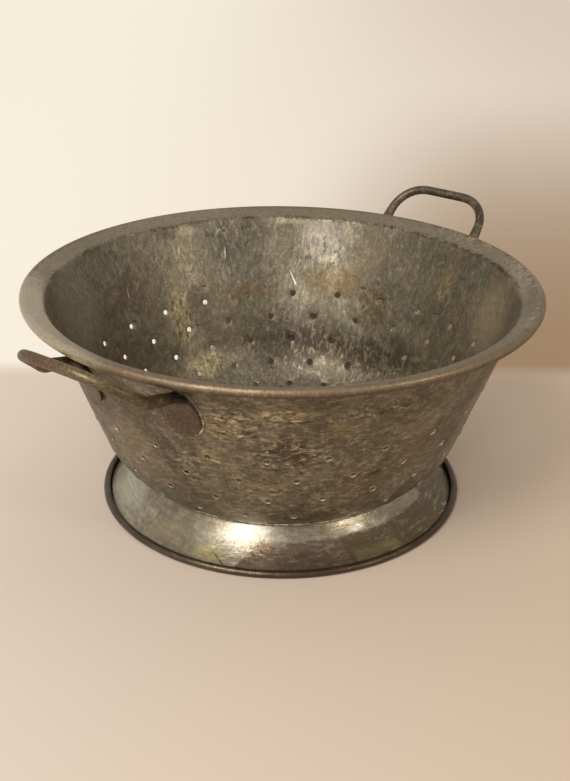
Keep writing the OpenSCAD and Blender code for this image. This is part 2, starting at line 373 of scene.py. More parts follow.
@dataclass(frozen=True)
class Spot:
    """A patch of another colour at one place on a round piece, for stains and wear, and also for painted light and
    shade.

    Attributes:
        turn: Direction of its middle, in degrees.
        out: Distance of its middle from the axis, in millimetres.
        up: Height of its middle.
        wide: Half its width round the piece.
        tall: Half its height.
        colour: sRGB hex colour.
        strength: Share of the colour at the middle.
        soft: Share of the size over which the edge fades.
        tilt: How far it is turned on the surface, in degrees.
        ragged: How far noise pushes its edge, as a share of its size.
        deep: Half its reach along the spoke.
    """

    turn: float
    out: float
    up: float
    wide: float
    tall: float
    colour: str
    strength: float = 0.8
    soft: float = 0.7
    tilt: float = 0.0
    ragged: float = 1.6
    deep: float = 45.0


@dataclass(frozen=True)
class Band:
    """A strip of another colour that runs round a sheet.

    Attributes:
        start: Where it starts along the sheet, in millimetres.
        end: Where it ends.
        colour: sRGB hex colour.
        strength: Share of the colour.
        fade: Width over which each edge fades.
        ragged: How far noise pushes its edges.
        patchy: Share of it that is lost in places.
    """

    start: float
    end: float
    colour: str
    strength: float = 0.8
    fade: float = 2.0
    ragged: float = 0.0
    patchy: float = 0.0


@dataclass(frozen=True)
class Zone:
    """A stretch of a round piece between two heights, with another colour and a crisp edge, such as a painted
    reflection.

    Attributes:
        turn: Direction of its middle, in degrees.
        out: Distance of its middle from the axis, in millimetres.
        up: Height of its middle.
        wide: Half its length round the piece.
        tall: Half its height.
        colour: sRGB hex colour.
        strength: Share of the colour.
        lean: How far its ends lean round the piece, for each millimetre of height.
        fade: Width over which its edge fades.
    """

    turn: float
    out: float
    up: float
    wide: float
    tall: float
    colour: str
    strength: float = 0.9
    lean: float = 0.0
    fade: float = 1.0


class Recipe:
    """Builds one material's nodes."""

    def __init__(self, name: str) -> None:
        """Starts a material with a Principled shader."""
        self.material = bpy.data.materials.new(name)
        self.material.use_nodes = True
        self.tree = self.material.node_tree
        self.shader = self.tree.nodes["Principled BSDF"]
        self.place = self.add("ShaderNodeTexCoord").outputs["Object"]

    def add(self, kind: str, settings: dict | None = None, **links: Any) -> bpy.types.Node:
        """Adds a node.

        Args:
            kind: The node's type.
            settings: Attributes of the node to set.
            **links: For each input, by name with spaces as underscores or as iN by number, a value or a socket.

        Returns:
            The node.
        """
        node = self.tree.nodes.new(kind)
        for key, value in (settings or {}).items():
            setattr(node, key, value)
        for key, value in links.items():
            by_number = key[0] == "i" and key[1:].isdigit()
            socket = node.inputs[int(key[1:])] if by_number else node.inputs[key.replace("_", " ")]
            if isinstance(value, bpy.types.NodeSocket):
                self.tree.links.new(value, socket)
            else:
                socket.default_value = value
        return node

    def attribute(self, name: str, output: str = "Fac") -> Any:
        """Reads what is stored on the mesh under this name."""
        return self.add("ShaderNodeAttribute", {"attribute_name": name}).outputs[output]

    def stretched(self, scale: tuple[float, float, float], place: Any = None) -> Any:
        """Gives the place with each axis scaled, so that a pattern is drawn out along the small ones."""
        return self.add("ShaderNodeMapping", Vector=place or self.place, Scale=scale).outputs["Vector"]

    def grain(self, size: float, detail: float = 4, rough: float = 0.55, place: Any = None,
              warp: float = 0) -> Any:
        """Gives noise from 0 to 1.

        Args:
            size: Size of its largest features, in millimetres.
            detail: How many finer layers it has.
            rough: How strong the finer layers are.
            place: Coordinates to use in place of the object's own.
            warp: How much the pattern is twisted.

        Returns:
            The noise.
        """
        made = self.add("ShaderNodeTexNoise", Vector=place or self.place, Scale=1 / (size * MM), Detail=detail,
                        Roughness=rough, Distortion=warp)
        return made.outputs["Fac"]

    def ramp(self, value: Any, low: float, high: float, start: float = 0.0, end: float = 1.0) -> Any:
        """Maps a value smoothly from the range low to high onto start to end."""
        made = self.add("ShaderNodeMapRange", {"interpolation_type": "SMOOTHSTEP"}, Value=value, From_Min=low,
                        From_Max=high, To_Min=start, To_Max=end)
        return made.outputs["Result"]

    def mix(self, share: Any, a: Any, b: Any, blend: str = "MIX") -> Any:
        """Mixes two colours.

        Args:
            share: Share of the second colour.
            a: The first, as a socket or an sRGB hex colour.
            b: The second.
            blend: How they are mixed.

        Returns:
            The mixed colour.
        """
        made = self.add("ShaderNodeMix", {"data_type": "RGBA", "blend_type": blend})
        for name, kind, value in (("Factor", "VALUE", share), ("A", "RGBA", a), ("B", "RGBA", b)):
            socket = next(s for s in made.inputs if s.name == name and s.type == kind and s.enabled)
            if isinstance(value, bpy.types.NodeSocket):
                self.tree.links.new(value, socket)
            else:
                socket.default_value = srgb(value) if isinstance(value, str) else value
        return next(s for s in made.outputs if s.type == "RGBA" and s.enabled)

    def maths(self, operation: str, a: Any, b: Any = 0.0) -> Any:
        """Combines two values."""
        return self.add("ShaderNodeMath", {"operation": operation}, i0=a, i1=b).outputs["Value"]

    def pushed(self, value: Any, noise: Any, far: float) -> Any:
        """Moves a value up and down by noise, so that an edge drawn from it is ragged."""
        return self.maths("ADD", value, self.maths("MULTIPLY", self.maths("SUBTRACT", noise, 0.5), far))

    def shade(self, colour: Any, *amounts: Any) -> Any:
        """Makes a colour lighter or darker by these factors."""
        for amount in amounts:
            colour = self.mix(1.0, colour, amount, "MULTIPLY")
        return colour

    def patch(self, spot: Spot, noise: Any) -> Any:
        """Gives the share of a stain, with its edge broken up by noise."""
        turn = math.radians(spot.turn)
        middle = (spot.out * math.cos(turn) * MM, spot.out * math.sin(turn) * MM, spot.up * MM)
        centred = self.add("ShaderNodeMapping", {"vector_type": "TEXTURE"}, Vector=self.place, Location=middle,
                           Rotation=(math.radians(spot.tilt), 0, turn),
                           Scale=(spot.deep * MM, spot.wide * MM, spot.tall * MM))
        far = self.add("ShaderNodeVectorMath", {"operation": "LENGTH"}, i0=centred.outputs["Vector"])
        edge = self.pushed(far.outputs["Value"], noise, spot.ragged)
        return self.ramp(edge, 1.0, 1.0 - spot.soft, 0.0, spot.strength)

    def strip(self, band: Band, noise: Any, clouds: Any) -> Any:
        """Gives the share of a band.

        Args:
            band: The band.
            noise: Noise that breaks up its edges.
            clouds: Coarser noise that thins it in places.

        Returns:
            A share from 0 to the band's strength.
        """
        along = self.pushed(self.attribute("along"), noise, band.ragged)
        half = band.fade / 2
        begun = self.ramp(along, band.start - half, band.start + half, 0.0, band.strength)
        ended = self.ramp(along, band.end + half, band.end - half)
        return self.maths("MULTIPLY", self.maths("MULTIPLY", begun, ended),
                          self.ramp(clouds, 0.44, 0.56, 1.0 - band.patchy, 1.0))

    def field(self, zone: Zone, noise: Any) -> Any:
        """Gives the share of a zone, with its edge roughened by noise."""
        turned = self.add("ShaderNodeMapping", Vector=self.place, Rotation=(0, 0, -math.radians(zone.turn)))
        split = self.add("ShaderNodeSeparateXYZ", Vector=turned.outputs["Vector"])
        height = self.maths("SUBTRACT", self.maths("DIVIDE", split.outputs["Z"], MM), zone.up)
        angle = self.maths("ARCTAN2", split.outputs["Y"], split.outputs["X"])
        across = self.maths("ADD", self.maths("MULTIPLY", angle, zone.out), self.maths("MULTIPLY", height, zone.lean))
        shares = [
            self.ramp(self.pushed(self.maths("ABSOLUTE", far), noise, 2 * zone.fade), reach + zone.fade / 2,
                      reach - zone.fade / 2)
            for far, reach in ((across, zone.wide), (height, zone.tall))
        ]
        return self.maths("MULTIPLY", self.maths("MULTIPLY", *shares), zone.strength)

    def bump(self, height: Any, depth: float, strength: float = 1.0, onto: Any = None) -> Any:
        """Turns a height from 0 to 1 into a normal.

        Args:
            height: The height.
            depth: What a height of 1 stands for, in millimetres.
            strength: Share of the effect.
            onto: A normal to start from.

        Returns:
            The normal.
        """
        made = self.add("ShaderNodeBump", Height=height, Distance=depth * MM, Strength=strength)
        if onto is not None:
            self.tree.links.new(onto, made.inputs["Normal"])
        return made.outputs["Normal"]

    def glow(self, share: Any, colour: Any) -> None:
        """Shows a backdrop's colour as it is, to the camera and in gloss, without lighting anything by it.

        Args:
            share: How much of it is shown so.
            colour: The colour.
        """
        path = self.add("ShaderNodeLightPath").outputs
        gloss = self.maths("MAXIMUM", path["Is Glossy Ray"], path["Is Transmission Ray"])
        seen = self.maths("MULTIPLY", self.maths("MAXIMUM", path["Is Camera Ray"], gloss), share)
        plain = self.add("ShaderNodeEmission", Color=colour, Strength=1.0)
        mixed = self.add("ShaderNodeMixShader", i0=seen, i1=self.shader.outputs["BSDF"], i2=plain.outputs["Emission"])
        self.tree.links.new(mixed.outputs["Shader"], self.tree.nodes["Material Output"].inputs["Surface"])

    def finish(self, colour: Any, metallic: float, roughness: Any, normal: Any) -> bpy.types.Material:
        """Joins the results to the shader and gives the material."""
        self.shader.inputs["Metallic"].default_value = metallic
        for name, value in (("Base Color", colour), ("Roughness", roughness), ("Normal", normal)):
            self.tree.links.new(value, self.shader.inputs[name])
        return self.material


@dataclass(frozen=True)
class AgedTin:
    """Hot-dipped tin on pressed steel after long use.

    The tin has gone grey to olive brown in clouds, with rubbed lighter places, fine scratches the way it was
    scoured, flakes of brighter tin, and a grit of pits. Scratches and grit are a few tenths of a millimetre on
    the real sheet and are drawn at 1.5 to 2 mm.

    Attributes:
        name: Name of the material.
        base: Main colour.
        dark: Colour of the darker clouds.
        brown: Colour where the steel shows through.
        worn: Colour where use has rubbed it.
        flake: Colour of the flakes.
        metallic: How much of it is bare metal and not a film on it.
        roughness: Lowest and highest roughness.
        streak: Scale of the scratches round the sheet, twice, and along it. The smaller is the way they run.
        grit: How strongly the scratches lighten and darken it. The grit does so by two thirds of it.
        spots: Patches at their own places.
        bands: Strips that run round the sheet.
        zones: Stretches with a crisp edge.
        over: Patches that lie over the strips.
        flaky: Where the tin flakes, with the strength there. Its colour isn't used.
        lips: Whether the punched lips are rubbed bright.
    """

    name: str
    base: str
    dark: str
    brown: str
    worn: str
    flake: str
    metallic: float
    roughness: tuple[float, float]
    streak: tuple[float, float, float]
    grit: float
    spots: Sequence[Spot] = ()
    bands: Sequence[Band] = ()
    zones: Sequence[Zone] = ()
    over: Sequence[Spot] = ()
    flaky: Sequence[Spot] = ()
    lips: bool = False

    def make(self) -> bpy.types.Material:
        """Builds the material."""
        r = Recipe(self.name)
        sheet = r.attribute("rolled_out", "Vector")
        clouds = r.grain(38, 5, 0.6, warp=0.8)
        browns = r.grain(23, 6, 0.68, r.stretched((1.5, 1.5, 0.8)), warp=1.0)
        mottle = r.grain(6, 8, 0.74, warp=0.9)
        grit = r.grain(2.0, 3, 0.7)
        scratches = r.grain(1.8, 4, 0.62, r.stretched(self.streak, sheet))
        flakes = r.grain(3.2, 6, 0.7, r.stretched([s ** 0.5 for s in self.streak], sheet), warp=0.6)
        colour = r.mix(r.ramp(clouds, 0.4, 0.6), self.base, self.dark)
        colour = r.mix(r.ramp(browns, 0.48, 0.62, 0.0, 0.8), colour, self.brown)
        colour = r.mix(r.ramp(mottle, 0.5, 0.62, 0.0, 0.5), colour, self.worn)
        for spot in self.spots:
            colour = r.mix(r.patch(spot, mottle), colour, spot.colour)
        for zone in self.zones:
            colour = r.mix(r.field(zone, mottle), colour, zone.colour)
        calm = r.ramp(clouds, 0.6, 0.7, 0.0, 0.5)
        for band in self.bands:
            share = r.strip(band, mottle, clouds)
            calm = r.maths("MAXIMUM", calm, share)
            colour = r.mix(share, colour, band.colour)
        for spot in self.over:
            colour = r.mix(r.patch(spot, mottle), colour, spot.colour)
        scratched = r.mix(calm, r.ramp(scratches, 0.36, 0.64, 1 - self.grit, 1 + self.grit), (1, 1, 1, 1))
        strength = r.ramp(clouds, 0.4, 0.62, 0.35, 0.1)
        for place in self.flaky:
            strength = r.maths("MAXIMUM", strength, r.patch(place, mottle))
        strength = r.maths("MULTIPLY", strength, r.ramp(calm, 0.5, 0.8, 1.0, 0.25))
        light = r.maths("MULTIPLY", r.ramp(flakes, 0.52, 0.6), strength)
        pits = r.ramp(r.maths("MULTIPLY", r.ramp(flakes, 0.46, 0.41), strength), 0.0, 1.0, 1.0, 0.38)
        colour = r.mix(light, colour, self.flake)
        if self.lips:
            colour = r.mix(r.ramp(r.attribute("lift"), 0.15, 0.3), colour, LIP_TIN)
        colour = r.shade(
            colour,
            pits,
            scratched,
            r.ramp(grit, 0.4, 0.6, 1 - 0.65 * self.grit, 1 + 0.65 * self.grit),
            r.ramp(mottle, 0.4, 0.3, 1.0, 0.55),
        )
        rough = r.ramp(r.pushed(clouds, mottle, 0.5), 0.3, 0.7, *self.roughness)
        normal = r.bump(mottle, 0.3, 0.4)
        normal = r.bump(flakes, 0.35, 0.5, normal)
        normal = r.bump(scratches, 0.1, 0.4, normal)
        normal = r.bump(clouds, 2.2, 0.3, normal)
        return r.finish(colour, self.metallic, rough, normal)


LIP_TIN = "#94896f"


@dataclass(frozen=True)
class ForgedIron:
    """Forged mild steel rod that was tinned and has been rubbed back to brown iron.

    The hammer leaves it a little uneven, rust makes it matte and gritty, and thin tin stays as pale flecks.

    Attributes:
        name: Name of the material.
        base: Main colour.
        dark: Colour of the darker clouds.
        worn: Colour of the flecks.
        spots: Patches at their own places.
    """

    name: str
    base: str
    dark: str
    worn: str
    spots: Sequence[Spot] = ()

    def make(self) -> bpy.types.Material:
        """Builds the material."""
        r = Recipe(self.name)
        clouds = r.grain(18, 5, 0.6, warp=0.5)
        mottle = r.grain(5, 6, 0.7)
        grit = r.grain(1.8, 4, 0.7)
        colour = r.mix(r.ramp(clouds, 0.4, 0.6), self.base, self.dark)
        colour = r.mix(r.ramp(mottle, 0.52, 0.64, 0.0, 0.6), colour, self.worn)
        for spot in self.spots:
            colour = r.mix(r.patch(spot, mottle), colour, spot.colour)
        colour = r.shade(colour, r.ramp(grit, 0.38, 0.62, 0.72, 1.3), r.ramp(mottle, 0.42, 0.34, 1.0, 0.7))
        rough = r.ramp(mottle, 0.3, 0.7, 0.34, 0.5)
        normal = r.bump(grit, 0.1, 0.5, r.bump(mottle, 0.3, 0.4))
        return r.finish(colour, 0.55, rough, normal)


@dataclass(frozen=True)
class SoftSolder:
    """Tin and lead solder, wiped on hot: a pale grey metal that is smooth, a little lumpy and dull in places.

    Attributes:
        name: Name of the material.
        base: Main colour.
        dull: Colour of the dull places.
        spots: Patches at their own places, where it has darkened like the sheet round it.
    """

    name: str
    base: str
    dull: str
    spots: Sequence[Spot] = ()

    def make(self) -> bpy.types.Material:
        """Builds the material."""
        r = Recipe(self.name)
        lumps = r.grain(4, 4, 0.6)
        grit = r.grain(1.2, 3, 0.6)
        colour = r.mix(r.ramp(lumps, 0.42, 0.6), self.base, self.dull)
        for spot in self.spots:
            colour = r.mix(r.patch(spot, lumps), colour, spot.colour)
        colour = r.shade(colour, r.ramp(grit, 0.3, 0.7, 0.85, 1.15))
        return r.finish(colour, 0.75, r.ramp(lumps, 0.3, 0.7, 0.28, 0.45), r.bump(lumps, 0.4, 0.5))


@dataclass
class Bowl:
    """The pressed and punched bowl with its rolled brim. Sizes are those of the solids."""

    sheet: float = 1.0
    brim_w: float = 14.5
    brim_slope: float = 25.0
    rim_wire_d: float = 3.6
    wire_gap: float = 0.3
    rim_wrap: float = 280.0
    wall_lean: float = 20.0
    bottom_bend: float = 56.0
    crease_r: float = 4.0
    hole_d: float = 4.0
    row_holes: int = 24
    rows: int = 9
    first_row: float = 58.0
    row_pitch: float = 17.3
    ring_gap: float = 24.0
    row_phase: float = 5.4
    row_lean: float = 1.9
    row_lean_side: float = -50.5
    columns: int = 288
    seam_column: int = 21
    rows_per_pitch: int = 6
    rim_r: float = field(default_factory=lambda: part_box("bowl")[1][0] / MM)
    rim_h: float = field(default_factory=lambda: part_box("bowl")[1][2] / MM)
    lift: float = field(default_factory=lambda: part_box("bowl")[0][2] / MM)

    def __post_init__(self) -> None:
        """Works out the section from the driving sizes."""
        roll_r = self.rim_wire_d / 2 + self.wire_gap + self.sheet
        slope, lean = math.radians(self.brim_slope), math.radians(self.wall_lean)
        top = (self.rim_r - roll_r - roll_r * math.sin(slope), self.rim_h - roll_r + roll_r * math.cos(slope))
        self.crease = (self.rim_r - self.brim_w, top[1] - (top[0] - self.rim_r + self.brim_w) * math.tan(slope))
        fold_half = (90 - self.brim_slope - self.wall_lean) / 2
        fold_cut = self.crease_r * math.tan(math.radians(fold_half))
        brim_l = math.dist(top, self.crease)
        bend_in = self.bottom_bend - self.sheet
        bend_up = self.lift + self.bottom_bend
        bend_out = self.crease[0] + ((bend_up - self.crease[1]) * math.sin(lean) - bend_in) / math.cos(lean)
        touch = (bend_out + bend_in * math.cos(lean), bend_up - bend_in * math.sin(lean))
        wall_l = math.dist(touch, self.crease)
        bend = Stretch.bend(self.bottom_bend - self.sheet / 2, 90 - self.wall_lean)
        self.crease_along = bend_out + bend.length + wall_l
        self.line = SheetLine((0, self.lift + self.sheet / 2), 0, (
            Stretch(bend_out),
            bend,
            Stretch(wall_l - fold_cut),
            Stretch.bend(-(self.crease_r - self.sheet / 2), 2 * fold_half),
            Stretch(brim_l - fold_cut),
            Stretch.bend(-(roll_r - self.sheet / 2), self.rim_wrap),
        ))

    def holes_in_row(self, out: float) -> int:
        """Gives the number of holes of a row at this distance from the axis."""
        return min(self.row_holes, 6 * max(1, round(2 * math.pi * out / self.ring_gap / 6)))

    def blank(self) -> Blank:
        """Lays out the punched blank."""
        last_row = self.crease_along - self.first_row - (self.rows - 1) * self.row_pitch
        step = self.row_pitch / self.rows_per_pitch
        below = HOLE_ROWS * step
        first = self.crease_along - self.first_row
        fold_end = self.line.length - self.line.stretches[-1].length - self.line.stretches[-2].length
        wall_end = fold_end - self.line.stretches[-3].length
        zones = [
            (last_row - below, 8),
            (first + below, (self.rows - 1) * self.rows_per_pitch + 2 * HOLE_ROWS),
            (wall_end, 16),
            (fold_end, 5),
            (self.line.length - self.line.stretches[-1].length, 4),
            (self.line.length, 16),
        ]
        rows = spread(zones, 0.0)
        holes = []
        for k in range(self.rows):
            row = zones[0][1] + HOLE_ROWS + (self.rows - 1 - k) * self.rows_per_pitch
            out = self.line.at(rows[row])[0]
            count = self.holes_in_row(out)
            pitch = self.columns // count
            half = math.ceil(LIPS[0].radius * 1.1 / (2 * math.pi * out / self.columns))
            holes += [Hole(i * pitch + k % 2 * pitch // 2, row, half) for i in range(count)]
        return Blank(self.line, rows, self.columns, self.seam_column, self.row_phase, holes, LIPS)

    def slip(self, azimuth: float, along: float) -> float:
        """How far the hand-set pattern leans off level here."""
        out = self.line.at(along)[0]
        lean = math.tan(math.radians(self.row_lean)) / math.cos(math.radians(self.wall_lean))
        tilt = out * lean * math.cos(math.radians(azimuth - self.row_lean_side))
        below = ease(along, self.crease_along - 8, self.crease_along - self.first_row + 8)
        return tilt * below * ease(along, 0, 40)

    def swell(self, point: Vector, along: float) -> float:
        """How far hand work and use have pushed the sheet off its true form."""
        wave = noise.noise(point / 55) * 0.35 + noise.noise(point / 20) * 0.08
        roll_start = self.line.length - self.line.stretches[-1].length
        return wave * ease(along, 0, 30) * (1 - ease(along, self.crease_along, roll_start))

    def brim_bands(self) -> tuple[Band, ...]:
        """Gives the strips of the brim: a dark line in the crease, rubbed tin, and rust with painted shade under the
        roll.
        """
        roll = self.line.stretches[-1].length
        roll_start = self.line.length - roll
        return (
            Band(self.crease_along + 1, roll_start, "#918672", 0.7, 3, 5),
            Band(self.crease_along - 1.4, self.crease_along - 0.2, "#3a3022", 0.7, 1.0, 10, 0.9),
            Band(roll_start, roll_start + 0.42 * roll, "#82705a", 0.8, 2, 1.5),
            # Rust and painted shade: the underside of the roll is dark brown.
            Band(roll_start + 0.42 * roll, self.line.length + 1, "#5c4834", 0.85, 2, 1.5),
        )

    def build(self) -> None:
        """Makes the bowl."""
        outside = AgedTin("old_tin_outside", "#756b5b", "#5d5445", "#665a4b", "#9b9079", "#b9ad90", 0.7,
                          (0.36, 0.54), (0.3, 0.3, 1.3), 0.2, OUTSIDE_STAINS, flaky=OUTSIDE_FLAKES, lips=True)
        inside = AgedTin("old_tin_inside", "#7a7364", "#655f4f", "#746755", "#938a72", "#ada183", 0.7,
                         (0.34, 0.52), (1.0, 1.0, 0.1), 0.15, INSIDE_STAINS_AND_PAINTED_LIGHT, self.brim_bands(), (),
                         BRIM_STAINS_AND_PAINTED_LIGHT, INSIDE_FLAKES)
        edge = SoftSolder("punched_edge_tin", "#bdb29c", "#8f846e")
        piece = finished("pressed_bowl", self.blank().make(self.slip, self.swell),
                         (outside.make(), inside.make(), edge.make()))
        give_thickness(piece, self.sheet)
        seat(piece, "bowl")


LIPS = (Lip(3.0, 0.0), Lip(2.5, 0.12), Lip(2.12, 0.38), Lip(1.95, 0.42))

INSIDE_STAINS_AND_PAINTED_LIGHT = (
    # Painted light: these two pale spots lighten the dim inside walls at the left and at the right.
    Spot(120, 141, 112, 44, 44, "#968f7e", 0.75),
    Spot(-44, 142, 112, 38, 38, "#a8997f", 0.85),
    # Painted shade: dark brown low on the back wall, the tin's own tone darkened further.
    Spot(30, 119, 52, 60, 38, "#3a3026", 0.85, 0.9, 0, 0.7),
    # Painted highlight: a pale grey spot high on the back wall.
    Spot(27, 145, 124, 26, 24, "#a39b90", 0.7, 0.8),
    Spot(43, 143, 122, 6, 9, "#8c8078", 0.6),
    Spot(58, 143, 122, 28, 24, "#5f5d53", 0.75),
    Spot(50, 132, 90, 30, 9, "#705d45", 0.7),
    Spot(22, 134, 98, 32, 14, "#775f40", 0.65),
    Spot(11, 142, 118, 13, 18, "#84715f", 0.6),
    Spot(75, 127, 80, 11, 30, "#958964", 0.6),
    Spot(70, 112, 42, 15, 12, "#8f825d", 0.6),
    Spot(-17, 141, 115, 10, 20, "#87795a", 0.6),
    Spot(-30, 147, 130, 6, 5, "#6c7755", 0.6),
    Spot(-8, 119, 58, 26, 16, "#4c4b39", 0.7),
    Spot(7, 130, 86, 18, 20, "#59492f", 0.7),
    # Painted shade: dark brown low in the bowl, the tin's own tone darkened further.
    Spot(8, 115, 48, 44, 22, "#3c3020", 0.8, 0.9, 0, 0.8),
    Spot(92, 137, 105, 16, 16, "#6a5b4d", 0.6),
    Spot(68, 148, 136, 14, 4, "#a89d88", 0.7),
    Spot(38, 149, 139, 22, 3, "#a1967f", 0.6),
    Spot(56.8, 142, 117.7, 0.4, 5, "#e6dfcd", 0.9, 0.4, 4, 0.4),
    Spot(92.7, 137, 105.1, 0.4, 5.5, "#d6cfba", 0.8, 0.4, 6, 0.4),
    Spot(71.3, 144, 124.8, 0.4, 4.5, "#d6cfba", 0.7, 0.4, 0, 0.4),
    Spot(35.5, 134, 98.5, 0.5, 8, "#efe8d6", 0.9, 0.5, -26, 0.4),
    Spot(9.8, 129, 83, 0.6, 5, "#a2966f", 0.7, 0.5, 40, 0.4),
    Spot(110.1, 130, 86.5, 0.5, 6, "#2c2419", 0.8, 0.5, -40, 0.5),
    Spot(65.0, 134, 96.4, 3.5, 0.8, "#2c2419", 0.8, 0.5, 0, 0.6),
    Spot(93.8, 130, 86, 3.5, 0.8, "#2c2419", 0.8, 0.5, 20, 0.6),
    Spot(69.4, 124.5, 70.2, 3, 0.8, "#2c2419", 0.8, 0.5, 20, 0.6),
    Spot(-6.7, 136, 102.7, 0.7, 6, "#3a3022", 0.8, 0.5, 8, 0.8),
    Spot(-17.3, 133, 94.1, 4, 1.1, "#3a3022", 0.8, 0.5, -15, 0.8),
    Spot(-19, 137, 105.3, 0.8, 4, "#3a3022", 0.8, 0.5, 0, 0.8),
    Spot(12.1, 134, 96.4, 3, 1.5, "#2c2419", 0.8, 0.5, 10, 0.8),
)

BRIM_STAINS_AND_PAINTED_LIGHT = (
    # Painted light: the brim and the roll are lighter at the left, towards the lamps.
    Spot(154, 158, 146, 100, 10, "#bfb49e", 0.85, 0.5, 0, 0.8),
    Spot(-50, 157, 146, 50, 9, "#9c907b", 0.7, 0.5, 0, 0.8),
    Spot(70, 158, 146, 60, 6, "#94897a", 0.5, 0.5, 0, 2.0),
    Spot(-38, 151, 141.5, 40, 1.4, "#3a3022", 0.7, 0.6, 0, 2.2),
    Spot(-62, 163, 144.5, 44, 3.5, "#6a5a49", 0.6, 0.7, 0, 1.2),
)

INSIDE_FLAKES = (
    Spot(75, 127, 80, 13, 34, "", 0.9),
    Spot(68, 112, 42, 20, 14, "", 0.9),
    Spot(27, 142, 118, 30, 26, "", 0.8),
    Spot(-17, 141, 112, 14, 24, "", 0.5),
    Spot(20, 116, 52, 40, 16, "", 0.35),
    Spot(55, 147, 133, 30, 8, "", 0.7),
    Spot(-14, 158, 146.5, 50, 6, "", 1.1, 0.5, 0, 0.8),
    Spot(-45, 158, 146.5, 50, 6, "", 1.3, 0.5, 0, 0.8),
    Spot(-74, 159, 146.5, 34, 6, "", 1.0, 0.6, 0, 0.8),
)

OUTSIDE_FLAKES = (
    Spot(-152, 140, 112, 26, 18, "", 1.0),
    Spot(-140, 144, 120, 30, 8, "", 1.0),
    Spot(-140, 132, 90, 34, 22, "", 0.8),
    Spot(-165, 128, 76, 18, 16, "", 0.8),
    Spot(-120, 144, 120, 30, 8, "", 0.7),
    Spot(-145, 122, 62, 30, 10, "", 0.6),
)

OUTSIDE_STAINS = (
    Spot(176, 128, 78, 26, 34, "#85775f", 0.65),
    Spot(-154, 140, 110, 17, 12, "#8d7d58", 0.6),
    Spot(-141, 144, 122, 30, 5, "#94865f", 0.6, 0.8),
    Spot(-159, 131, 86, 10, 8, "#988962", 0.6),
    Spot(-140, 134, 92, 28, 16, "#594a3c", 0.7),
    Spot(-168, 142, 112, 9, 17, "#594939", 0.75, 0.9),
    Spot(178, 110, 40, 34, 9, "#7d7d6c", 0.7),
    Spot(-120, 125, 68, 22, 18, "#665640", 0.6),
    Spot(-103, 130, 85, 26, 26, "#6b5c43", 0.6),
    Spot(-146, 124, 66, 24, 3, "#8b7c5b", 0.6),
    Spot(-128, 140, 109, 14, 8, "#7c6c4b", 0.6),
    Spot(-115, 125.5, 70, 6, 2.2, "#2e251a", 0.7, 0.6),
    Spot(-157.8, 130, 82.8, 4.5, 0.6, "#dccf9f", 0.8, 0.5, -8, 0.4),
)


